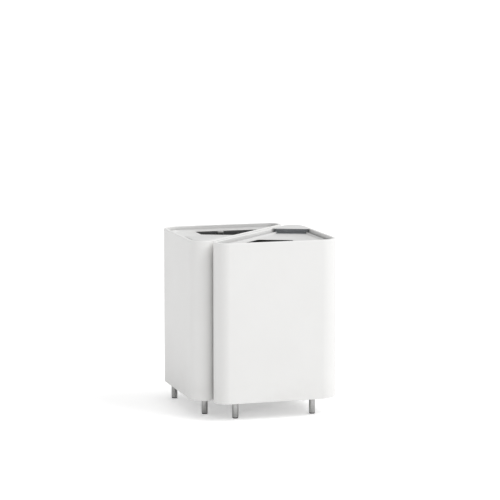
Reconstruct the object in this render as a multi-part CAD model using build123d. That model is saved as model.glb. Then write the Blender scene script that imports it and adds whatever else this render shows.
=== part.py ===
from build123d import *
import math
import os

os.makedirs("parts", exist_ok=True)

# A pair of free-standing recycling bins. Each bin is a right-angled triangular prism, and the
# two stand back to back along their long walls, so that together they make a square.
# +X runs along the front wall, +Y to the rear, +Z up. The origin is the middle of the pair, on
# the floor. The front bin has its square corner at the front right; the rear bin is the same
# bin turned half a turn about Z, with a narrower opening and one leg placed differently.

# Overall sizes, mm
bin_side = 378.0                # length of each of the two outer walls of a bin
bin_height = 460.0              # floor to the top of the shell's rim
bin_gap = 10.0                  # gap between the two long walls
square_corner_radius = 50.0
acute_corner_radius = 34.0

# Shell
sheet = 1.5                     # sheet steel of the shell and base pan
shell_clearance_from_floor = 46.0
rim_width = 8.4                 # top face of the folded rim
rim_lip_depth = 11.0            # inner lip that hangs from the rim
rim_edge_radius = 1.2

# Base pan
pan_recess = 6.0                # pan's underside above the shell's lower edge
pan_flange_height = 14.0

# Legs
leg_diameter = 16.0
leg_wall = 1.5
leg_plate_diameter = 38.0
leg_plate_thickness = 3.0
glide_thickness = 2.5
glide_diameter = 15.0
glide_plug_height = 9.0
glide_plug_clearance = 0.1
acute_leg_end_inset = 109.0     # acute corner's leg: along its outer wall from the corner
leg_wall_inset = 48.0           # leg's axis behind the outer wall
front_square_leg_side_inset = 61.0
rear_square_leg_side_inset = 26.0
screw_circle_radius = 13.2
screws_per_leg = 3
screw_diameter = 5.0
screw_hole_clearance = 0.3
screw_head_diameter = 9.0
screw_head_height = 2.4
screw_socket_width = 3.0
screw_socket_depth = 1.4
nut_diameter = 9.0
nut_height = 3.5

# Bucket
bucket_wall = 2.0
bucket_inset = 24.0             # bucket's outside behind the outer walls
bucket_rim_inset = 12.0         # outer edge of the bucket's rim flange
bucket_rim_thickness = 2.0
bucket_pad_diameter = 30.0
bucket_pad_height = 7.0
hand_slot_length = 90.0
hand_slot_height = 24.0
hand_slot_drop = 34.0           # middle of the slot below the bucket's rim
bag_clip_width = 16.0
bag_clip_inner_drop = 6.5       # clip's inner leg below the bucket's rim
bag_clip_outer_drop = 4.0       # clip's outer leg below the bucket's rim
bag_clip_sheet = 1.0
bag_clip_offset = 162.0         # from the square corner's point to the clip's middle

# Lid
lid_sheet = 1.2
tray_recess = 14.0              # top of the tray floor below the rim
tray_inset = 20.0               # foot of the tray's sloping edge
tray_edge_inset = 17.0          # top of the tray's sloping edge
tray_edge_height = 5.0
opening_outer_inset = 21.0      # opening's edge from the front wall
opening_side_inset = 90.0       # opening's end from the side wall
opening_long_wall_inset = 29.0  # opening's edge from the long wall
front_opening_distance = 265.0  # front lid: opening's edge from the grip corner's point
rear_opening_distance = 300.0   # rear lid: the same edge, for a narrower opening
opening_corner_radius = 4.0
raised_rise = 1.0               # top of the raised corner above the rim
raised_distance = 148.0         # raised corner's front from the corner's point
raised_rim_gap = 1.0            # raised corner's wall inside the shell's rim
raised_edge_radius = 2.5
grip_depth = 16.0               # front to back of the grip bar
grip_side_clearance = 0.3
grip_setback = 0.5              # grip bar's face behind the raised corner's front edge
scoop_radius = 12.0
scoop_lip = 1.6                 # bar left standing below the finger scoop
rivet_diameter = 3.2
rivet_head_diameter = 6.0
rivet_head_height = 1.0
rivet_length_in_grip = 6.0
rivet_spacing = 50.0
rivet_setback = 12.6            # rivet's axis behind the grip's front
bumper_diameter = 6.0
bumper_height = 2.0
bumper_inset = 22.5
bumper_square_offset = 70.0     # front bumper from the square corner's point
bumper_far_offset = 127.0       # side bumper from the rear tip's point
bumper_tip_offset = 106.0       # long wall's bumper from the front left point

# Worked-out values
half_acute = math.radians(22.5)
tip_factor = 1.0 / math.sin(half_acute)
gap_shift = bin_gap * math.sqrt(2.0)
pair_depth = bin_side + gap_shift
left = -bin_side / 2.0
right = bin_side / 2.0
front = -pair_depth / 2.0
rear_tip = front + bin_side
tray_top = bin_height - tray_recess
tray_low = tray_top - lid_sheet
bucket_top = tray_low - bumper_height
raised_top = bin_height + raised_rise
raised_inset = rim_width + raised_rim_gap
hollow_inset = raised_inset + lid_sheet
pan_bottom = shell_clearance_from_floor + pan_recess
pan_top = pan_bottom + sheet
leg_top = pan_bottom - leg_plate_thickness
bucket_bottom = pan_top + bucket_pad_height
grip_axis = (-math.sin(half_acute), -math.cos(half_acute))
grip_across = (math.cos(half_acute), -math.sin(half_acute))


def corners(inset):
    """Sharp corners of the plan at an inset: front left, square corner, rear tip."""
    run = inset * (1.0 + math.sqrt(2.0))
    return [
        (left + run, front + inset),
        (right - inset, front + inset),
        (right - inset, rear_tip - run),
    ]


def plan(inset):
    """Face of the bin's rounded plan, moved in from the outer walls."""
    square_radius = max(square_corner_radius - inset, 4.0)
    acute_radius = max(acute_corner_radius - inset, 4.0)
    radii = [acute_radius, square_radius, acute_radius]
    outline = FilletPolyline(*corners(inset), radius=radii, close=True)
    return make_face(outline)


def slab(inset, low, high):
    """Solid of the plan between two heights."""
    return Pos(0, 0, low) * extrude(plan(inset), high - low)


def ring(outer_inset, inner_inset, low, high):
    """Wall that follows the plan between two insets."""
    return slab(outer_inset, low, high) - slab(inner_inset, low, high)


def grip_point(distance, across=0.0):
    """Point on the grip corner's bisector, and to one side of it."""
    x = right + grip_axis[0] * distance + grip_across[0] * across
    y = rear_tip + grip_axis[1] * distance + grip_across[1] * across
    return (x, y)


def disc(point, radius, low, high):
    """Upright cylinder."""
    return Pos(point[0], point[1], (low + high) / 2.0) * Cylinder(radius, high - low)


def leg_points(side_inset):
    """Axes of the three legs: acute corner, square corner and rear tip."""
    return {
        "tip": (left + acute_leg_end_inset, front + leg_wall_inset),
        "square": (right - side_inset, front + leg_wall_inset),
        "far": (right - leg_wall_inset, rear_tip - acute_leg_end_inset),
    }


def screw_points(leg):
    """Screw axes round one leg."""
    step = 2.0 * math.pi / screws_per_leg
    turns = [math.pi / 2.0 + step * k for k in range(screws_per_leg)]
    reach = screw_circle_radius
    return [(leg[0] + reach * math.cos(a), leg[1] + reach * math.sin(a)) for a in turns]


def make_shell():
    """Wrapped sheet wall with a folded rim."""
    wall = ring(0.0, sheet, shell_clearance_from_floor, bin_height)
    rim_face = ring(0.0, rim_width, bin_height - sheet, bin_height)
    lip = ring(rim_width - sheet, rim_width, bin_height - rim_lip_depth, bin_height)
    shell = wall + rim_face + lip
    top_face = shell.faces().sort_by(Axis.Z)[-1]
    return fillet(top_face.edges(), rim_edge_radius)


def make_pan(legs):
    """Base pan with an upturned flange and clearance holes for the leg screws."""
    pan = slab(sheet, pan_bottom, pan_top)
    pan += ring(sheet, 2.0 * sheet, pan_top, pan_top + pan_flange_height)
    hole_radius = (screw_diameter + screw_hole_clearance) / 2.0
    for leg in legs.values():
        for point in screw_points(leg):
            pan -= disc(point, hole_radius, pan_bottom - 1.0, pan_top + 1.0)
    return pan


def make_leg(leg):
    """Open tube from the glide to the mounting plate."""
    outer = leg_diameter / 2.0
    tube = disc(leg, outer, glide_thickness, leg_top)
    tube -= disc(leg, outer - leg_wall, glide_thickness - 1.0, leg_top + 1.0)
    return tube


def make_leg_plate(leg):
    """Round mounting plate welded to the leg."""
    plate = disc(leg, leg_plate_diameter / 2.0, leg_top, pan_bottom)
    hole_radius = (screw_diameter + screw_hole_clearance) / 2.0
    for point in screw_points(leg):
        plate -= disc(point, hole_radius, leg_top - 1.0, pan_bottom + 1.0)
    return plate


def make_glide(leg):
    """Plastic glide: a foot disc with a plug that fits the tube."""
    foot = disc(leg, glide_diameter / 2.0, 0.0, glide_thickness)
    lower_edge = foot.edges().sort_by(Axis.Z)[0]
    foot = fillet(lower_edge, glide_thickness * 0.3)
    plug_radius = leg_diameter / 2.0 - leg_wall - glide_plug_clearance
    return foot + disc(leg, plug_radius, glide_thickness, glide_thickness + glide_plug_height)


def make_screws(legs):
    """Button-head screws that hold every leg plate to the pan."""
    screws = []
    for leg in legs.values():
        for point in screw_points(leg):
            head_low = leg_top - screw_head_height
            head = disc(point, screw_head_diameter / 2.0, head_low, leg_top)
            head = fillet(head.edges().sort_by(Axis.Z)[0], screw_head_height * 0.6)
            socket = Pos(point[0], point[1], head_low) * extrude(
                RegularPolygon(screw_socket_width / 2.0, 6), screw_socket_depth
            )
            shank = disc(point, screw_diameter / 2.0, leg_top, pan_top + nut_height)
            screws.append(head - socket + shank)
    return Compound(screws)


def make_nuts(legs):
    """Clinch nuts on the upper side of the pan."""
    nuts = []
    for leg in legs.values():
        for point in screw_points(leg):
            nut = disc(point, nut_diameter / 2.0, pan_top, pan_top + nut_height)
            nuts.append(nut - disc(point, screw_diameter / 2.0, pan_top, pan_top + nut_height))
    return Compound(nuts)


def make_bucket():
    """Open bucket with a rim flange and two hand slots."""
    bucket = slab(bucket_inset, bucket_bottom, bucket_top)
    bucket -= slab(bucket_inset + bucket_wall, bucket_bottom + bucket_wall, bucket_top)
    rim_low = bucket_top - bucket_rim_thickness
    bucket += ring(bucket_rim_inset, bucket_inset + bucket_wall, rim_low, bucket_top)
    slot_z = bucket_top - hand_slot_drop
    slot = SlotOverall(hand_slot_length, hand_slot_height)
    front_wall = Plane((0.0, front + bucket_inset, slot_z), x_dir=(1, 0, 0), z_dir=(0, -1, 0))
    side_wall = Plane((right - bucket_inset, front + bin_side / 2.0, slot_z), x_dir=(0, 1, 0),
                      z_dir=(1, 0, 0))
    for wall in (front_wall, side_wall):
        bucket -= extrude(wall * slot, 2.0 * bucket_wall, both=True)
    return bucket


def make_bucket_pads():
    """Rubber pads on the base pan that carry the bucket."""
    reach = bucket_inset + bucket_pad_diameter
    points = [
        (right - bin_side / 4.0, front + reach),
        (right - reach, rear_tip - bin_side / 2.0),
        (left + bin_side / 2.0, front + bin_side / 3.0),
    ]
    return Compound([disc(p, bucket_pad_diameter / 2.0, pan_top, bucket_bottom) for p in points])


def make_bag_clip():
    """Sheet clip bent over the bucket's rim, built at the front wall."""
    x = right - bag_clip_offset
    outer_y = front + bucket_rim_inset
    inner_y = front + bucket_inset + bucket_wall
    high = bucket_top + bag_clip_sheet
    length = inner_y - outer_y + 2.0 * bag_clip_sheet
    clip = Pos(x, (outer_y + inner_y) / 2.0, bucket_top + bag_clip_sheet / 2.0) * Box(
        bag_clip_width, length, bag_clip_sheet
    )
    legs = (
        (outer_y - bag_clip_sheet / 2.0, bag_clip_outer_drop),
        (inner_y + bag_clip_sheet / 2.0, bag_clip_inner_drop),
    )
    for y, drop in legs:
        height = drop + bag_clip_sheet
        clip += Pos(x, y, high - height / 2.0) * Box(bag_clip_width, bag_clip_sheet, height)
    return clip


def make_bag_clips():
    """One clip on the front wall and its mirror image on the side wall."""
    front_clip = make_bag_clip()
    fold = Plane((right, front, 0.0), z_dir=(1, 1, 0))
    return Compound([front_clip, front_clip.mirror(fold)])


def opening_face(distance):
    """Throw-in opening: front wall, end, edge square to the grip's bisector, long wall."""
    low_y = front + opening_outer_inset
    end_x = right - opening_side_inset
    run = opening_long_wall_inset * math.sqrt(2.0)

    def grip_edge_y(x):
        along = distance + (x - right) * math.sin(half_acute)
        return rear_tip - along / math.cos(half_acute)

    slope = math.tan(half_acute)
    start_x = left + run + opening_outer_inset
    meet_x = start_x + (grip_edge_y(start_x) - low_y) / (1.0 + slope)
    points = [
        (start_x, low_y),
        (end_x, low_y),
        (end_x, grip_edge_y(end_x)),
        (meet_x, grip_edge_y(meet_x)),
    ]
    return make_face(FilletPolyline(*points, radius=opening_corner_radius, close=True))


def corner_block(start, stop, low, high):
    """Block square to the grip corner's bisector between two distances from its point."""
    middle = grip_point((start + stop) / 2.0)
    block = Box(2.0 * bin_side, stop - start, high - low)
    turn = Rot(0, 0, -math.degrees(half_acute))
    return Pos(middle[0], middle[1], (low + high) / 2.0) * turn * block


def sloped_edge(offset):
    """Solid inside the tray's sloping edge, moved out by an offset."""
    foot = Pos(0, 0, tray_low) * plan(tray_inset - offset)
    head = Pos(0, 0, tray_top + tray_edge_height) * plan(tray_edge_inset - offset)
    return loft([foot, head])


def make_lid(opening_distance):
    """Pressed lid: tray floor, sloping edge and a raised corner for the grip."""
    edge_top = tray_top + tray_edge_height
    lid = sloped_edge(lid_sheet) - sloped_edge(0.0)
    lid += slab(tray_inset - lid_sheet, tray_low, tray_top) & sloped_edge(lid_sheet)
    raised = slab(raised_inset, tray_low, raised_top)
    raised &= corner_block(0.0, raised_distance, tray_low, raised_top)
    top_edges = raised.faces().sort_by(Axis.Z)[-1].edges()
    raised = fillet(top_edges, raised_edge_radius)
    hollow = slab(hollow_inset, tray_top, raised_top - lid_sheet)
    hollow &= corner_block(0.0, raised_distance + 1.0, tray_top, raised_top - lid_sheet)
    inside = slab(hollow_inset, tray_top, edge_top)
    inside &= corner_block(0.0, raised_distance, tray_top, edge_top)
    lid = lid + raised - hollow - inside
    lid -= Pos(0, 0, tray_low - 1.0) * extrude(opening_face(opening_distance), lid_sheet + 2.0)
    for point in rivet_points():
        lid -= disc(point, rivet_diameter / 2.0, tray_low - 1.0, tray_top + 1.0)
    return lid


def rivet_points():
    """Axes of the two rivets, behind the finger scoop."""
    distance = raised_distance - rivet_setback
    return [grip_point(distance, side * rivet_spacing / 2.0) for side in (-1.0, 1.0)]


def make_grip():
    """Grip bar that fills the raised corner's front, with a finger scoop along it."""
    high = raised_top - lid_sheet
    low = tray_top
    bar = slab(hollow_inset + grip_side_clearance, low, high)
    face = raised_distance - grip_setback
    bar &= corner_block(face - grip_depth, face, low, high)
    middle = grip_point(face)
    height = low + scoop_lip + scoop_radius
    turn = Rot(0, 0, -math.degrees(half_acute)) * Rot(0, 90, 0)
    scoop = Pos(middle[0], middle[1], height) * turn * Cylinder(scoop_radius, bin_side)
    bar -= scoop
    for point in rivet_points():
        bar -= disc(point, rivet_diameter / 2.0, low - 1.0, low + rivet_length_in_grip)
    return bar


def make_rivets():
    """Rivets that come up through the tray floor into the grip."""
    rivets = []
    for point in rivet_points():
        head = disc(point, rivet_head_diameter / 2.0, tray_low - rivet_head_height, tray_low)
        shank = disc(point, rivet_diameter / 2.0, tray_low, tray_top + rivet_length_in_grip)
        rivets.append(head + shank)
    return Compound(rivets)


def make_bumpers():
    """Rubber bumpers under the lid that rest on the bucket's rim."""
    long_wall_shift = bumper_inset * math.sqrt(2.0) / 2.0
    tip_step = bumper_tip_offset / math.sqrt(2.0)
    points = [
        (right - bumper_square_offset, front + bumper_inset),
        (right - bumper_inset, rear_tip - bumper_far_offset),
        (left + tip_step + long_wall_shift, front + tip_step - long_wall_shift),
    ]
    return Compound([disc(p, bumper_diameter / 2.0, bucket_top, tray_low) for p in points])


def make_bin(prefix, turn, square_leg_side_inset, opening_distance):
    """Write one bin's pieces, turned into its place."""
    legs = leg_points(square_leg_side_inset)
    pieces = {
        "shell": make_shell(),
        "base_pan": make_pan(legs),
        "leg_screws": make_screws(legs),
        "clinch_nuts": make_nuts(legs),
        "bucket_pads": make_bucket_pads(),
        "bucket": make_bucket(),
        "bag_clips": make_bag_clips(),
        "lid_tray": make_lid(opening_distance),
        "lid_grip": make_grip(),
        "grip_rivets": make_rivets(),
        "lid_bumpers": make_bumpers(),
    }
    for name, point in legs.items():
        pieces[name + "_leg"] = make_leg(point)
        pieces[name + "_leg_plate"] = make_leg_plate(point)
        pieces[name + "_glide"] = make_glide(point)
    for name, piece in pieces.items():
        export_step(Rot(0, 0, turn) * piece, "parts/" + prefix + "_" + name + ".step")


make_bin("front", 0.0, front_square_leg_side_inset, front_opening_distance)
make_bin("rear", 180.0, rear_square_leg_side_inset, rear_opening_distance)
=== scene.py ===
import math

import bpy
from mathutils import Matrix, Vector


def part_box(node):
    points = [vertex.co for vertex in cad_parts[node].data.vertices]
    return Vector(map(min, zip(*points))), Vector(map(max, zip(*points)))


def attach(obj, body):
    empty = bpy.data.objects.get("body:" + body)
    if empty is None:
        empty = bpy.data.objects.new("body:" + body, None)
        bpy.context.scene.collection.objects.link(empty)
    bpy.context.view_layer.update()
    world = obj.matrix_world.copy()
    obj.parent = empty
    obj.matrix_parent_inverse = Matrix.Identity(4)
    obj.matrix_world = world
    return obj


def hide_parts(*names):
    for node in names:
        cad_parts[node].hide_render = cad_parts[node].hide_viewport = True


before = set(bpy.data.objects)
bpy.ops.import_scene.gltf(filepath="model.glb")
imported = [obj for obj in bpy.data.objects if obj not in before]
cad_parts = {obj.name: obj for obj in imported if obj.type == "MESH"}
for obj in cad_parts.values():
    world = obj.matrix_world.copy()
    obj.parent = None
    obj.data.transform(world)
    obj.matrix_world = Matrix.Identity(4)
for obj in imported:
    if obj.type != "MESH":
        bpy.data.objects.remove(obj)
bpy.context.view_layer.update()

mm = 0.001
bpy.ops.object.select_all(action="DESELECT")
print("frame loaded")


# hands for the view layer

def makeActive(piece):
    bpy.ops.object.select_all(action="DESELECT")
    piece.select_set(True)
    bpy.context.view_layer.objects.active = piece


def pickFaces(piece, wanted):
    # wanted(centre, normal) says which faces stay selected in edit mode
    makeActive(piece)
    bpy.ops.object.mode_set(mode="EDIT")
    bpy.ops.mesh.select_mode(type="FACE")
    bpy.ops.mesh.select_all(action="DESELECT")
    bpy.ops.object.mode_set(mode="OBJECT")
    for face in piece.data.polygons:
        face.select = bool(wanted(face.center, face.normal))
    bpy.ops.object.mode_set(mode="EDIT")


def pickEdges(piece, wanted):
    # wanted(first end, second end) says which edges stay selected in edit mode
    makeActive(piece)
    bpy.ops.object.mode_set(mode="EDIT")
    bpy.ops.mesh.select_mode(type="EDGE")
    bpy.ops.mesh.select_all(action="DESELECT")
    bpy.ops.object.mode_set(mode="OBJECT")
    points = piece.data.vertices
    for edge in piece.data.edges:
        edge.select = bool(wanted(points[edge.vertices[0]].co, points[edge.vertices[1]].co))
    bpy.ops.object.mode_set(mode="EDIT")


def editAll(piece):
    makeActive(piece)
    bpy.ops.object.mode_set(mode="EDIT")
    bpy.ops.mesh.select_all(action="SELECT")


def stopEditing():
    bpy.ops.object.mode_set(mode="OBJECT")


def settle(piece):
    # puts the object's place into its mesh
    makeActive(piece)
    bpy.ops.object.transform_apply(location=True, rotation=True, scale=True)


def applyModifier(piece, kind, **settings):
    makeActive(piece)
    modifier = piece.modifiers.new(kind.title(), kind)
    for key, value in settings.items():
        setattr(modifier, key, value)
    bpy.ops.object.modifier_apply(modifier=modifier.name)


def cutAway(piece, cutter):
    applyModifier(piece, "BOOLEAN", object=cutter, operation="DIFFERENCE", solver="EXACT")
    bpy.data.objects.remove(cutter)


def joinPieces(name, parts):
    bpy.ops.object.select_all(action="DESELECT")
    for part in parts:
        part.select_set(True)
    bpy.context.view_layer.objects.active = parts[0]
    if len(parts) > 1:
        bpy.ops.object.join()
    parts[0].name = name
    parts[0].data.name = name
    return parts[0]


def smoothPiece(piece, angle=35.0):
    editAll(piece)
    bpy.ops.mesh.remove_doubles(threshold=0.000002)
    bpy.ops.mesh.normals_make_consistent(inside=False)
    stopEditing()
    bpy.ops.object.shade_smooth_by_angle(angle=math.radians(angle))


def copyPiece(piece, name, place):
    copied = piece.copy()
    copied.data = piece.data.copy()
    copied.name = name
    copied.data.name = name
    bpy.context.scene.collection.objects.link(copied)
    copied.data.transform(place)
    return copied


def facing(up, height):
    # picks level faces that look up (1) or down (-1) at a height
    return lambda centre, normal: normal.z * up > 0.9 and abs(centre.z - height) < 0.02 * mm


def sinkFace(path):
    # takes the picked face along a path of (inwards, up) steps
    for inwards, up in path:
        if inwards > 0.0:
            bpy.ops.mesh.inset(thickness=inwards, depth=up, use_even_offset=True)
        else:
            bpy.ops.mesh.extrude_region_move(TRANSFORM_OT_translate={"value": (0, 0, up)})


def foldIn(radius, steps=5):
    # a quarter round from an upright wall over to a level top
    turns = [math.pi / 2.0 * k / steps for k in range(steps + 1)]
    points = [(radius * (1.0 - math.cos(a)), radius * math.sin(a)) for a in turns]
    return [(b[0] - a[0], b[1] - a[1]) for a, b in zip(points, points[1:])]


def foldDown(radius, steps=5):
    # a quarter round from a level top down into an upright wall
    turns = [math.pi / 2.0 * k / steps for k in range(steps + 1)]
    points = [(radius * math.sin(a), -radius * (1.0 - math.cos(a))) for a in turns]
    return [(b[0] - a[0], b[1] - a[1]) for a, b in zip(points, points[1:])]


# the plan that every sheet follows

plan = {"acuteRadius": 34.0 * mm, "squareRadius": 50.0 * mm, "leastRadius": 4.0 * mm,
        "roundSteps": 96}
halfAcute = math.radians(22.5)
shellLow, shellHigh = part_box("front_shell")
cornerMiddles = [
    (shellLow.x + plan["acuteRadius"], shellLow.y + plan["acuteRadius"], plan["acuteRadius"]),
    (shellHigh.x - plan["squareRadius"], shellLow.y + plan["squareRadius"], plan["squareRadius"]),
    (shellHigh.x - plan["acuteRadius"], shellHigh.y - plan["acuteRadius"], plan["acuteRadius"]),
]
tipRun = plan["acuteRadius"] / math.tan(halfAcute)
gripCorner = Vector((shellHigh.x, cornerMiddles[2][1] + tipRun, 0.0))
gripBack = Vector((math.sin(halfAcute), math.cos(halfAcute), 0.0))
halfTurn = Matrix.Rotation(math.pi, 4, "Z")


def cornerPrism(name, inset, low, high, topInset=None):
    # an upright round in each corner of the plan, wrapped by one hull
    topInset = inset if topInset is None else topInset
    parts = []
    for x, y, radius in cornerMiddles:
        bpy.ops.mesh.primitive_cone_add(
            vertices=plan["roundSteps"],
            radius1=max(radius - inset, plan["leastRadius"]),
            radius2=max(radius - topInset, plan["leastRadius"]),
            depth=high - low,
            location=(x, y, (low + high) / 2.0),
        )
        parts.append(bpy.context.object)
    prism = joinPieces(name, parts)
    settle(prism)
    editAll(prism)
    bpy.ops.mesh.convex_hull()
    bpy.ops.mesh.select_all(action="SELECT")
    bpy.ops.mesh.dissolve_limited(angle_limit=math.radians(0.3))
    stopEditing()
    return prism


# the shells

shellSheet = {
    "sheet": 1.5 * mm,
    "rimWidth": 8.4 * mm,
    "lipDepth": 11.0 * mm,
    "outerFold": 2.2 * mm,
    "innerFold": 2.0 * mm,
    "hemWidth": 6.0 * mm,
    "hemFold": 1.6 * mm,
}


def makeShell():
    low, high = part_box("front_shell")
    sizes = shellSheet
    shell = cornerPrism("front_shell_skin", 0.0, low.z + sizes["hemFold"],
                        high.z - sizes["outerFold"])
    flat = sizes["rimWidth"] - sizes["outerFold"] - sizes["innerFold"]
    pickFaces(shell, facing(1, high.z - sizes["outerFold"]))
    sinkFace(foldIn(sizes["outerFold"]) + [(flat, 0.0)] + foldDown(sizes["innerFold"])
             + [(0.0, -(sizes["lipDepth"] - sizes["innerFold"]))])
    bpy.ops.mesh.delete(type="FACE")
    stopEditing()
    pickFaces(shell, facing(-1, low.z + sizes["hemFold"]))
    sinkFace(foldIn(sizes["hemFold"]) + [(sizes["hemWidth"] - sizes["hemFold"], 0.0)])
    bpy.ops.mesh.delete(type="FACE")
    stopEditing()
    smoothPiece(shell, 40.0)
    applyModifier(shell, "SOLIDIFY", thickness=sizes["sheet"], offset=-1.0,
                  use_even_offset=True)
    smoothPiece(shell, 40.0)
    return shell


# the lids

lidSheet = {
    "sheet": 1.2 * mm,
    "footInset": 20.0 * mm,
    "edgeInset": 17.0 * mm,
    "edgeHeight": 5.0 * mm,
    "edgeFold": 0.5 * mm,
    "footFold": 1.0 * mm,
    "footTuck": 0.6 * mm,
    "holeOuterInset": 21.0 * mm,
    "holeSideInset": 90.0 * mm,
    "holeLongInset": 29.0 * mm,
    "frontHoleDistance": 265.0 * mm,
    "rearHoleDistance": 300.0 * mm,
    "holeCorner": 4.0 * mm,
    "holeFold": 0.9 * mm,
    "raisedDistance": 148.0 * mm,
    "raisedInset": 9.4 * mm,
    "raisedFold": 2.5 * mm,
    "mouthBorder": 1.3 * mm,
    "mouthDepth": 18.0 * mm,
    "raisedEdge": 0.45 * mm,
}


def makeTray(holeDistance):
    low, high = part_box("front_lid_tray")
    sizes = lidSheet
    floor = low.z + sizes["sheet"]
    edgeTop = floor + sizes["edgeHeight"]
    fold = sizes["edgeFold"]
    tray = cornerPrism("front_lid_pressing", sizes["footInset"] - sizes["sheet"] + sizes["footTuck"], low.z,
                       edgeTop - fold, sizes["edgeInset"] - sizes["sheet"])
    pickFaces(tray, facing(1, edgeTop - fold))
    run = sizes["footInset"] - sizes["edgeInset"] - sizes["footFold"] * 0.6
    drop = sizes["edgeHeight"] - fold - sizes["footFold"] * 0.4
    sinkFace(foldIn(fold, 3) + [(sizes["sheet"] - 2.0 * fold, 0.0)] + foldDown(fold, 3)
             + [(run, -drop), (sizes["footFold"], -sizes["footFold"] * 0.4)])
    stopEditing()
    smoothPiece(tray)
    cutAway(tray, makeHoleCutter(floor, holeDistance))
    return tray


def holeCorners(holeDistance):
    # the throw-in hole: front wall, end, edge square to the grip's line, long wall
    sizes = lidSheet
    left = cornerMiddles[0][0] - tipRun
    lowY = shellLow.y + sizes["holeOuterInset"]
    endX = shellHigh.x - sizes["holeSideInset"]
    startX = left + sizes["holeLongInset"] * math.sqrt(2.0) + sizes["holeOuterInset"]

    def gripEdge(x):
        along = holeDistance + (x - gripCorner.x) * math.sin(halfAcute)
        return gripCorner.y - along / math.cos(halfAcute)

    meetX = startX + (gripEdge(startX) - lowY) / (1.0 + math.tan(halfAcute))
    return [(startX, lowY), (endX, lowY), (endX, gripEdge(endX)), (meetX, gripEdge(meetX))]


def makeHoleCutter(floor, holeDistance):
    sizes = lidSheet
    fold = sizes["holeFold"]
    bpy.ops.mesh.primitive_plane_add(size=1.0, location=(0, 0, 0))
    cutter = bpy.context.object
    order = [(0, 0), (1, 0), (1, 1), (0, 1)]
    for point in cutter.data.vertices:
        spot = order.index((int(point.co.x > 0), int(point.co.y > 0)))
        point.co = (*holeCorners(holeDistance)[spot], floor + 0.02 * mm)
    editAll(cutter)
    bpy.ops.mesh.bevel(offset=sizes["holeCorner"] + fold, segments=8, affect="VERTICES")
    stopEditing()
    pickFaces(cutter, lambda centre, normal: True)
    bpy.ops.mesh.extrude_region_move(TRANSFORM_OT_translate={"value": (0, 0, -0.02 * mm)})
    for inwards, drop in foldDown(fold, 4):
        bpy.ops.mesh.inset(thickness=inwards, use_even_offset=True)
        bpy.ops.transform.translate(value=(0, 0, drop))
    bpy.ops.mesh.extrude_region_move(TRANSFORM_OT_translate={"value": (0, 0, -3.0 * mm)})
    bpy.ops.mesh.select_all(action="SELECT")
    bpy.ops.mesh.normals_make_consistent(inside=False)
    stopEditing()
    return cutter


def makeRaisedCorner():
    low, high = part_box("front_lid_tray")
    sizes = lidSheet
    fold = sizes["raisedFold"]
    base = low.z + sizes["sheet"] * 0.5
    raised = cornerPrism("front_lid_raised", sizes["raisedInset"], base,
                         high.z - fold)
    pickFaces(raised, facing(1, high.z - fold))
    sinkFace(foldIn(fold, 6))
    stopEditing()
    front = gripCorner - gripBack * sizes["raisedDistance"]
    editAll(raised)
    bpy.ops.mesh.bisect(plane_co=front, plane_no=gripBack, use_fill=True, clear_inner=True)
    stopEditing()
    pickFaces(raised, lambda centre, normal: normal.dot(gripBack) < -0.99)
    bpy.ops.mesh.inset(thickness=sizes["mouthBorder"], use_even_offset=True)
    inwards = gripBack * sizes["mouthDepth"]
    bpy.ops.mesh.extrude_region_move(TRANSFORM_OT_translate={"value": tuple(inwards)})
    stopEditing()
    applyModifier(raised, "BEVEL", width=sizes["raisedEdge"], segments=3, limit_method="ANGLE",
                  angle_limit=math.radians(50.0), harden_normals=False)
    smoothPiece(raised)
    return raised


def makeLid(holeDistance):
    tray = makeTray(holeDistance)
    raised = makeRaisedCorner()
    lid = joinPieces("front_lid_pressing", [tray, raised])
    makeActive(lid)
    bpy.ops.object.shade_smooth_by_angle(angle=math.radians(35.0))
    return lid


# the grips

gripBar = {
    "setback": 0.5 * mm,
    "sideGap": 0.35 * mm,
    "topGap": 0.15 * mm,
    "scoopRadius": 12.0 * mm,
    "scoopLip": 1.6 * mm,
    "edge": 0.35 * mm,
    "depth": 16.0 * mm,
    "blankLength": 140.0 * mm,
    "scoopLength": 0.3,
}


def makeGrip():
    low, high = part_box("front_lid_grip")
    sizes = gripBar
    top = high.z - sizes["topGap"]
    faceAt = gripCorner - gripBack * (lidSheet["raisedDistance"] - sizes["setback"])
    depth = sizes["depth"]
    middle = faceAt + gripBack * depth / 2.0
    bpy.ops.mesh.primitive_cube_add(size=1.0, location=(middle.x, middle.y, (low.z + top) / 2.0),
                                    rotation=(0, 0, -halfAcute))
    bar = bpy.context.object
    bar.name = "front_grip_bar"
    bar.scale = (sizes["blankLength"], depth, top - low.z)
    settle(bar)
    inset = lidSheet["raisedInset"] + lidSheet["sheet"] + sizes["sideGap"]
    editAll(bar)
    bpy.ops.mesh.bisect(plane_co=(shellHigh.x - inset, 0, 0), plane_no=(1, 0, 0), use_fill=True,
                        clear_outer=True)
    bpy.ops.mesh.select_all(action="SELECT")
    long = Vector((-1.0, 1.0, 0.0)).normalized()
    bpy.ops.mesh.bisect(plane_co=gripCorner - long * inset, plane_no=long, use_fill=True,
                        clear_outer=True)
    stopEditing()
    scoopHeight = low.z + sizes["scoopLip"] + sizes["scoopRadius"]
    bpy.ops.mesh.primitive_cylinder_add(
        vertices=128, radius=sizes["scoopRadius"], depth=sizes["scoopLength"],
        location=(faceAt.x, faceAt.y, scoopHeight),
        rotation=(0, math.pi / 2.0, -halfAcute))
    scoop = bpy.context.object
    settle(scoop)
    cutAway(bar, scoop)
    applyModifier(bar, "BEVEL", width=sizes["edge"], segments=3, limit_method="ANGLE",
                  angle_limit=math.radians(40.0))
    smoothPiece(bar, 30.0)
    return bar


# the buckets

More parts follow.
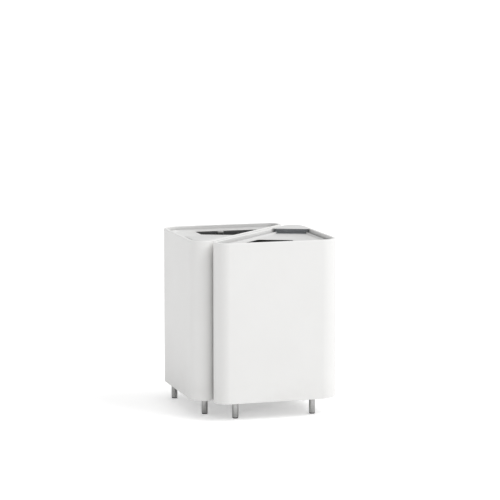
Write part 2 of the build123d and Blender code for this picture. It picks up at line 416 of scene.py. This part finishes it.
bucketShape = {
    "wall": 2.0 * mm,
    "inset": 24.0 * mm,
    "rimInset": 12.0 * mm,
    "rimThickness": 2.0 * mm,
    "rimFold": 0.7 * mm,
    "footFold": 6.0 * mm,
    "slotLength": 90.0 * mm,
    "slotHeight": 24.0 * mm,
    "slotDrop": 34.0 * mm,
}


def makeBucket():
    low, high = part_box("front_bucket")
    sizes = bucketShape
    fold = sizes["rimFold"]
    ledge = sizes["inset"] - sizes["rimInset"]
    bucket = cornerPrism("front_bucket_moulding", sizes["rimInset"],
                         high.z - sizes["rimThickness"] + fold, high.z - fold)
    foot = sizes["footFold"]
    pickFaces(bucket, facing(1, high.z - fold))
    sinkFace(foldIn(fold, 3) + [(ledge + sizes["wall"] - 2.0 * fold, 0.0)] + foldDown(fold, 3)
             + [(0.0, -(high.z - low.z - sizes["wall"] - fold - foot))]
             + [(b, -a) for a, b in foldIn(foot - sizes["wall"], 5)]
             + [(0.0, -sizes["wall"])])
    stopEditing()
    pickFaces(bucket, facing(-1, high.z - sizes["rimThickness"] + fold))
    sinkFace([(a, b) for a, b in foldIn(fold, 3)] + [(ledge - fold, 0.0)])
    stopEditing()
    return bucket


def makeSlotCutters(middleZ):
    # one rounded slot through the front wall and one through the side wall
    sizes = bucketShape
    cutters = []
    half = (sizes["slotLength"] - sizes["slotHeight"]) / 2.0
    wallMiddle = shellLow.y + (shellHigh.x - (cornerMiddles[0][0] - tipRun)) / 2.0
    places = [
        (Vector((0.0, shellLow.y + sizes["inset"], middleZ)), Vector((1, 0, 0)), (math.pi / 2, 0, 0)),
        (Vector((shellHigh.x - sizes["inset"], wallMiddle, middleZ)), Vector((0, 1, 0)),
         (0, math.pi / 2, 0)),
    ]
    for middle, along, turn in places:
        ends = []
        for side in (-1.0, 1.0):
            bpy.ops.mesh.primitive_cylinder_add(
                vertices=48, radius=sizes["slotHeight"] / 2.0, depth=10.0 * mm,
                location=middle + along * half * side, rotation=turn)
            ends.append(bpy.context.object)
        cutter = joinPieces("slotCutter", ends)
        settle(cutter)
        editAll(cutter)
        bpy.ops.mesh.convex_hull()
        bpy.ops.mesh.select_all(action="SELECT")
        bpy.ops.mesh.normals_make_consistent(inside=False)
        stopEditing()
        cutters.append(cutter)
    return cutters


def finishBucket(bucket):
    low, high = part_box("front_bucket")
    sizes = bucketShape
    fold = sizes["rimFold"]
    foot = sizes["footFold"]
    top = high.z - sizes["rimThickness"]
    down = top - low.z - foot
    editAll(bucket)
    stopEditing()
    pickFaces(bucket, facing(-1, top))
    bpy.ops.mesh.extrude_region_move(TRANSFORM_OT_translate={"value": (0, 0, -down)})
    for inwards, drop in foldIn(foot, 6):
        bpy.ops.mesh.inset(thickness=inwards, use_even_offset=True)
        bpy.ops.transform.translate(value=(0, 0, -drop))
    stopEditing()
    smoothPiece(bucket)
    for cutter in makeSlotCutters(high.z - sizes["slotDrop"]):
        cutAway(bucket, cutter)
    makeActive(bucket)
    bpy.ops.object.shade_smooth_by_angle(angle=math.radians(35.0))
    return bucket


# the bag clips

clipShape = {"width": 16.0 * mm, "sheet": 1.0 * mm, "offset": 162.0 * mm, "bend": 0.9 * mm,
             "innerDrop": 6.5 * mm, "outerDrop": 4.0 * mm}


def makeClip():
    # a strip drawn from its outer leg over the bucket's rim to its inner leg
    sizes = clipShape
    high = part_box("front_bag_clips")[1].z
    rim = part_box("front_bucket")[1].z
    x = shellHigh.x - sizes["offset"]
    outerY = shellLow.y + bucketShape["rimInset"] - sizes["sheet"]
    innerY = shellLow.y + bucketShape["inset"] + bucketShape["wall"] + sizes["sheet"]
    bpy.ops.mesh.primitive_plane_add(size=1.0, location=(x, (outerY + innerY) / 2.0, high))
    clip = bpy.context.object
    clip.scale = (sizes["width"], innerY - outerY, 1.0)
    settle(clip)
    for edgeY, drop in ((outerY, sizes["outerDrop"]), (innerY, sizes["innerDrop"])):
        pickEdges(clip, lambda a, b: abs(a.y - edgeY) < 0.1 * mm and abs(b.y - edgeY) < 0.1 * mm
                  and a.z > rim and b.z > rim)
        bpy.ops.mesh.extrude_region_move(
            TRANSFORM_OT_translate={"value": (0, 0, rim - drop - high)})
        stopEditing()
    pickEdges(clip, lambda a, b: a.z > rim and b.z > rim and abs(a.y - b.y) < 0.1 * mm)
    bpy.ops.mesh.bevel(offset=sizes["bend"], segments=4, affect="EDGES")
    stopEditing()
    smoothPiece(clip, 60.0)
    applyModifier(clip, "SOLIDIFY", thickness=sizes["sheet"] * 0.96, offset=-1.0,
                  use_even_offset=True)
    applyModifier(clip, "BEVEL", width=0.15 * mm, segments=2, limit_method="ANGLE",
                  angle_limit=math.radians(60.0))
    smoothPiece(clip, 40.0)
    mirrored = copyPiece(clip, "sideClip", foldAcross())
    editAll(mirrored)
    bpy.ops.mesh.flip_normals()
    stopEditing()
    return joinPieces("front_bag_clip_pair", [clip, mirrored])


def foldAcross():
    # mirror in the upright plane through the square corner's bisector
    corner = Vector((shellHigh.x, shellLow.y, 0.0))
    across = Vector((1.0, 1.0, 0.0)).normalized()
    mirror = Matrix.Scale(-1.0, 4, across)
    return Matrix.Translation(corner) @ mirror @ Matrix.Translation(-corner)


# the legs

legShape = {"radius": 8.0 * mm, "wall": 1.5 * mm, "endEdge": 0.4 * mm, "weld": 1.3 * mm,
            "around": 64}


def makeLeg(node):
    # a turned tube with a soft lower edge and a weld bead under its plate
    low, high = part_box(node)
    sizes = legShape
    middle = (low + high) / 2.0
    bpy.ops.mesh.primitive_cylinder_add(vertices=sizes["around"], radius=sizes["radius"],
                                        depth=high.z - low.z - 0.04 * mm,
                                        location=middle, end_fill_type="NGON")
    leg = bpy.context.object
    settle(leg)
    deep = high.z - low.z - 12.0 * mm
    pickFaces(leg, lambda centre, normal: normal.z < -0.9)
    bpy.ops.mesh.inset(thickness=sizes["wall"], use_even_offset=True)
    bpy.ops.mesh.extrude_region_move(TRANSFORM_OT_translate={"value": (0, 0, deep)})
    stopEditing()
    bottom = low.z + 0.02 * mm
    pickEdges(leg, lambda a, b: abs(a.z - bottom) < 0.05 * mm and abs(b.z - bottom) < 0.05 * mm
              and (a - b).length < 2.0 * mm
              and min((a.xy - middle.xy).length, (b.xy - middle.xy).length)
              > sizes["radius"] - 0.2 * mm)
    bpy.ops.mesh.bevel(offset=sizes["endEdge"], segments=3, affect="EDGES")
    stopEditing()
    bpy.ops.mesh.primitive_torus_add(
        major_radius=sizes["radius"] + 0.1 * mm, minor_radius=sizes["weld"],
        major_segments=sizes["around"], minor_segments=12,
        location=(middle.x, middle.y, high.z - sizes["weld"] * 0.5))
    weld = bpy.context.object
    settle(weld)
    editAll(weld)
    bpy.ops.mesh.bisect(plane_co=(0, 0, high.z - 0.02 * mm), plane_no=(0, 0, 1), use_fill=True,
                        clear_outer=True)
    stopEditing()
    smoothPiece(weld)
    smoothPiece(leg)
    return joinPieces("front_tip_leg_tube", [leg, weld])


# wiring of the materials

class Flow:
    # one socket's value, with the sums that patterns need

    def __init__(self, paint, socket):
        self.paint = paint
        self.socket = socket

    def calc(self, operation, other=0.0, turned=False):
        pair = [other, self] if turned else [self, other]
        return self.paint.node("ShaderNodeMath", {"operation": operation}, {0: pair[0], 1: pair[1]})

    def __add__(self, other):
        return self.calc("ADD", other)

    def __radd__(self, other):
        return self.calc("ADD", other, True)

    def __sub__(self, other):
        return self.calc("SUBTRACT", other)

    def __rsub__(self, other):
        return self.calc("SUBTRACT", other, True)

    def __mul__(self, other):
        return self.calc("MULTIPLY", other)

    def __rmul__(self, other):
        return self.calc("MULTIPLY", other, True)

    def power(self, other):
        return self.calc("POWER", other)

    def between(self, low, high):
        # 0 below low, 1 above high, smooth between
        return self.paint.node("ShaderNodeMapRange", {"interpolation_type": "SMOOTHSTEP"},
                               {0: self, 1: low, 2: high, 3: 0.0, 4: 1.0})


class Paint:
    # one material while it is being wired

    def __init__(self, name):
        self.material = bpy.data.materials.new(name)
        self.material.use_nodes = True
        self.tree = self.material.node_tree
        self.shader = self.tree.nodes["Principled BSDF"]
        self.place = self.node("ShaderNodeTexCoord", {}, {}, "Object")

    def node(self, kind, settings, inputs, output=0):
        made = self.tree.nodes.new(kind)
        for key, value in settings.items():
            setattr(made, key, value)
        for key, value in inputs.items():
            self.feed(made.inputs[key], value)
        return Flow(self, made.outputs[output])

    def feed(self, socket, value):
        if isinstance(value, Flow):
            self.tree.links.new(value.socket, socket)
        else:
            socket.default_value = value

    def mapped(self, scale, turn=(0.0, 0.0, 0.0)):
        return self.node("ShaderNodeMapping", {}, {"Vector": self.place, "Scale": scale,
                                                   "Rotation": turn})

    def noise(self, scale, detail=2.0, rough=0.5, place=None):
        return self.node("ShaderNodeTexNoise", {}, {"Vector": place or self.place, "Scale": scale,
                                                    "Detail": detail, "Roughness": rough})

    def cells(self, scale, place=None, output="Distance"):
        return self.node("ShaderNodeTexVoronoi", {}, {"Vector": place or self.place,
                                                      "Scale": scale}, output)

    def mix(self, factor, first, second):
        # input 0 is the factor and 6 and 7 are the colours of this node
        return self.node("ShaderNodeMix", {"data_type": "RGBA"},
                         {0: factor, 6: first, 7: second}, 2)

    def height(self):
        parts = self.node("ShaderNodeSeparateXYZ", {}, {"Vector": self.place}, "Z")
        return parts

    def bump(self, height, distance, strength=1.0, under=None):
        inputs = {"Height": height, "Distance": distance, "Strength": strength}
        if under is not None:
            inputs["Normal"] = under
        return self.node("ShaderNodeBump", {}, inputs)

    def finish(self, **values):
        names = {"color": "Base Color", "roughness": "Roughness", "metallic": "Metallic",
                 "normal": "Normal", "coat": "Coat Weight", "coatRoughness": "Coat Roughness",
                 "specular": "Specular IOR Level"}
        for key, value in values.items():
            self.feed(self.shader.inputs[names[key]], value)
        return self.material


def powderCoat(name, look):
    paint = Paint(name)
    broad = paint.noise(look["sheetWave"], 2.0, 0.45)
    peel = paint.noise(look["peel"], 3.0, 0.55)
    grain = paint.noise(look["grain"], 2.0, 0.6)
    specks = paint.cells(look["specks"]).between(0.10, 0.02)
    cloud = paint.noise(9.0, 4.0, 0.6)
    # painted shade: a patchy warm darkening over the lowest band of each piece, where shade falls under the
    # bin and in the lid's recessed tray floor
    paintedShadeBand = paint.height().between(look["paintedShadeTop"], look["paintedShadeBottom"])
    paintedShade = paintedShadeBand * cloud.between(0.38, 0.72) * look["paintedShade"]
    rub = paint.noise(34.0, 5.0, 0.68).between(0.62, 0.74) * look["rub"]
    color = paint.mix(cloud.between(0.3, 0.7), look["color"], look["shade"])
    color = paint.mix(specks * look["speckDepth"], color, look["speckColor"])
    # the painted shade is mixed into the colour here
    color = paint.mix(paintedShade, color, look["paintedShadeColor"])
    color = paint.mix(rub, color, look["rubColor"])
    rough = look["roughness"] + peel * 0.05 + paintedShade * 0.25 + rub * 0.12 + cloud * 0.05
    wave = paint.bump(broad, look["waveDepth"])
    peeled = paint.bump(peel * 0.8 + grain * 0.2, look["peelDepth"], 1.0, wave)
    return paint.finish(color=color, roughness=rough, normal=peeled, coat=look["coat"],
                        coatRoughness=0.22, specular=0.45)


shellLook = {
    "sheetWave": 5.0, "waveDepth": 0.0004, "peel": 620.0, "grain": 2100.0, "peelDepth": 0.000035,
    "specks": 420.0, "speckDepth": 0.05, "speckColor": (0.6, 0.59, 0.56, 1),
    # painted shade: the low band below 0.12 m darkens the bottom of the shell and the base pan under the
    # bin
    "paintedShadeTop": 0.12, "paintedShadeBottom": 0.046, "paintedShade": 0.12, "paintedShadeColor": (0.62, 0.60, 0.56, 1),
    "rub": 0.05, "rubColor": (0.72, 0.72, 0.71, 1),
    "color": (0.868, 0.866, 0.856, 1), "shade": (0.855, 0.852, 0.842, 1),
    "roughness": 0.36, "coat": 0.12,
}
# painted shade: the low band here darkens the lid's recessed tray floor
lidLook = dict(shellLook, color=(0.74, 0.74, 0.735, 1), shade=(0.72, 0.72, 0.713, 1), paintedShade=0.22,
               paintedShadeTop=0.4475, paintedShadeBottom=0.4455, rub=0.08, roughness=0.40, coat=0.06)


def brushedMetal(name, look):
    # fine lines drawn out along one direction of the piece
    paint = Paint(name)
    lines = paint.noise(1.0, 4.0, 0.65, paint.mapped(look["lines"], look["turn"]))
    fine = paint.noise(1.0, 2.0, 0.5, paint.mapped(tuple(v * 2.7 for v in look["lines"]),
                                                    look["turn"]))
    smear = paint.noise(look["smear"], 3.0, 0.6)
    color = paint.mix(lines.between(0.25, 0.75), look["dark"], look["light"])
    color = paint.mix(smear.between(0.45, 0.8) * look["smudge"], color, look["smudgeColor"])
    rough = look["roughness"] + lines * 0.12 + smear.between(0.4, 0.8) * 0.08
    relief = paint.bump(lines * 0.7 + fine * 0.3, look["depth"])
    return paint.finish(color=color, roughness=rough, normal=relief, metallic=look["metallic"])


tubeLook = {"lines": (90.0, 90.0, 900.0), "turn": (0, 0, 0), "smear": 60.0,
            "dark": (0.45, 0.45, 0.45, 1), "light": (0.60, 0.60, 0.59, 1), "smudge": 0.3,
            "smudgeColor": (0.36, 0.36, 0.35, 1), "roughness": 0.24, "depth": 0.00001,
            "metallic": 1.0}
gripLook = {"lines": (18.0, 1300.0, 1300.0), "turn": (0, 0, halfAcute), "smear": 45.0,
            "dark": (0.36, 0.375, 0.395, 1), "light": (0.47, 0.485, 0.505, 1), "smudge": 0.25,
            "smudgeColor": (0.32, 0.33, 0.34, 1), "roughness": 0.38, "depth": 0.000012,
            "metallic": 0.85}
zincLook = {"lines": (320.0, 320.0, 320.0), "turn": (0, 0, 0), "smear": 140.0,
            "dark": (0.40, 0.40, 0.39, 1), "light": (0.55, 0.55, 0.53, 1), "smudge": 0.35,
            "smudgeColor": (0.46, 0.43, 0.36, 1), "roughness": 0.34, "depth": 0.00001,
            "metallic": 1.0}
clipLook = dict(zincLook, lines=(60.0, 900.0, 900.0), light=(0.72, 0.72, 0.71, 1),
                dark=(0.6, 0.6, 0.59, 1), smudge=0.15, roughness=0.28)


def mouldedPlastic(name, look):
    paint = Paint(name)
    grain = paint.cells(look["grain"])
    fine = paint.noise(look["grain"] * 2.0, 3.0, 0.6)
    cloud = paint.noise(14.0, 4.0, 0.6)
    drag = paint.noise(1.0, 3.0, 0.6, paint.mapped((160.0, 160.0, 5.0))).between(0.58, 0.72)
    color = paint.mix(cloud.between(0.3, 0.7), look["dark"], look["light"])
    color = paint.mix(drag * look["scuff"], color, look["scuffColor"])
    rough = look["roughness"] + cloud * 0.08 + drag * 0.06
    relief = paint.bump(grain * 0.6 + fine * 0.4, look["depth"])
    return paint.finish(color=color, roughness=rough, normal=relief)


bucketLook = {"grain": 900.0, "dark": (0.040, 0.040, 0.042, 1), "light": (0.055, 0.055, 0.056, 1),
              "scuff": 0.25, "scuffColor": (0.12, 0.12, 0.118, 1), "roughness": 0.5,
              "depth": 0.00006}
rubberLook = dict(bucketLook, grain=1400.0, dark=(0.022, 0.022, 0.022, 1),
                  light=(0.032, 0.032, 0.031, 1), scuff=0.35, roughness=0.68)
glideLook = dict(bucketLook, grain=1100.0, scuff=0.4, roughness=0.46)


# the bins

def dress(piece, material):
    piece.data.materials.clear()
    piece.data.materials.append(material)


def place(piece, body, slotName, material, *nodes):
    dress(piece, material)
    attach(piece, body)
    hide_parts(*nodes)


shellPaint = powderCoat("shellPaint", shellLook)
lidPaint = powderCoat("lidPaint", lidLook)
satinTube = brushedMetal("satinTube", tubeLook)
gripMetal = brushedMetal("gripMetal", gripLook)
zinc = brushedMetal("zinc", zincLook)
clipSteel = brushedMetal("clipSteel", clipLook)
bucketPlastic = mouldedPlastic("bucketPlastic", bucketLook)
glidePlastic = mouldedPlastic("glidePlastic", glideLook)
rubber = mouldedPlastic("rubber", rubberLook)
print("materials wired")

masters = [
    (makeShell(), "shell_skin", "bin", "white_paint", shellPaint, ["shell"]),
    (makeGrip(), "grip_bar", "lid", "grip_metal", gripMetal, ["lid_grip"]),
    (finishBucket(makeBucket()), "bucket_moulding", "liner", "dark_plastic", bucketPlastic,
     ["bucket"]),
    (makeClip(), "bag_clip_pair", "liner", "clip_steel", clipSteel, ["bag_clips"]),
]
print("large pieces modelled")

for master, name, body, slotName, material, nodes in masters:
    master.name = "front_" + name
    other = copyPiece(master, "rear_" + name, halfTurn)
    for wedge, piece in (("front", master), ("rear", other)):
        place(piece, wedge + "_" + body, slotName, material, *[wedge + "_" + n for n in nodes])

frontLid = makeLid(lidSheet["frontHoleDistance"])
rearLid = makeLid(lidSheet["rearHoleDistance"])
rearLid.data.transform(halfTurn)
for wedge, lid in (("front", frontLid), ("rear", rearLid)):
    lid.name = wedge + "_lid_pressing"
    place(lid, wedge + "_lid", "lid_paint", lidPaint, wedge + "_lid_tray")
print("lids pressed")

legMaster = makeLeg("front_tip_leg")
legHome = (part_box("front_tip_leg")[0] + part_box("front_tip_leg")[1]) / 2.0
for wedge in ("front", "rear"):
    for corner in ("tip", "square", "far"):
        node = wedge + "_" + corner + "_leg"
        low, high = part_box(node)
        shift = Matrix.Translation((low + high) / 2.0 - legHome)
        leg = legMaster if node == "front_tip_leg" else copyPiece(legMaster, node + "_tube", shift)
        place(leg, wedge + "_bin", "satin_steel", satinTube, node)
print("legs placed")

nodeFinishes = {
    "base_pan": shellPaint, "leg_screws": zinc, "clinch_nuts": zinc, "bucket_pads": rubber,
    "grip_rivets": clipSteel, "lid_bumpers": rubber, "tip_leg_plate": satinTube,
    "square_leg_plate": satinTube, "far_leg_plate": satinTube, "tip_glide": glidePlastic,
    "square_glide": glidePlastic, "far_glide": glidePlastic,
}
for wedge in ("front", "rear"):
    for node, material in nodeFinishes.items():
        dress(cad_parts[wedge + "_" + node], material)


# floor, light and camera

studio = {
    "floorSize": 240.0,
    "floorColor": (0.96, 0.96, 0.96, 1),
    "floorGlow": 0.34,
    "worldLight": 0.68,
    "sunStrength": 1.45,
    "sunSpread": 42.0,
    "sunFrom": (0.75, -0.45, 0.90),
}
bpy.ops.mesh.primitive_plane_add(size=studio["floorSize"], location=(0, 0, 0))
floor = bpy.context.object
floor.name = "studio_floor"
floorPaint = Paint("floorPaint")
floorTone = floorPaint.mix(floorPaint.noise(3.0, 2.0, 0.5), studio["floorColor"],
                           (0.95, 0.95, 0.95, 1))
floorFinish = floorPaint.finish(color=floorTone, roughness=0.85, specular=0.1)
dress(floor, floorFinish)
# lit paper seen from the camera, so only the closest shadows stay on it
floorNodes = floorFinish.node_tree
floorShader = next(node for node in floorNodes.nodes if node.type == "BSDF_PRINCIPLED")
seen = floorNodes.nodes.new("ShaderNodeLightPath")
glow = floorNodes.nodes.new("ShaderNodeMath")
glow.operation = "MULTIPLY"
glow.inputs[1].default_value = studio["floorGlow"]
floorNodes.links.new(seen.outputs["Is Camera Ray"], glow.inputs[0])
floorNodes.links.new(glow.outputs[0], floorShader.inputs["Emission Strength"])
floorShader.inputs["Emission Color"].default_value = (1, 1, 1, 1)

world = bpy.data.worlds.new("studio")
bpy.context.scene.world = world
world.use_nodes = True
backdrop = world.node_tree.nodes["Background"]
backdrop.inputs["Color"].default_value = (1, 1, 1, 1)
path = world.node_tree.nodes.new("ShaderNodeLightPath")
level = world.node_tree.nodes.new("ShaderNodeMapRange")
level.inputs["To Min"].default_value = studio["worldLight"]
level.inputs["To Max"].default_value = 1.0
world.node_tree.links.new(path.outputs["Is Camera Ray"], level.inputs["Value"])
world.node_tree.links.new(level.outputs["Result"], backdrop.inputs["Strength"])

bpy.ops.object.light_add(type="SUN", location=(3, -2, 4))
sun = bpy.context.object
sun.name = "softSun"
sun.data.energy = studio["sunStrength"]
sun.data.angle = math.radians(studio["sunSpread"])
sun.rotation_euler = Vector(studio["sunFrom"]).to_track_quat("Z", "Y").to_euler()

view = {"place": (-1.675, -5.538, 1.1945), "tilt": 82.32, "turn": -16.87, "lens": 160.2}
bpy.ops.object.camera_add(location=view["place"],
                          rotation=(math.radians(view["tilt"]), 0, math.radians(view["turn"])))
camera = bpy.context.object
camera.data.lens = view["lens"]
camera.data.sensor_width = 36.0
camera.data.clip_end = 500.0
bpy.context.scene.camera = camera
bpy.context.scene.view_settings.view_transform = "Standard"
print("studio ready")
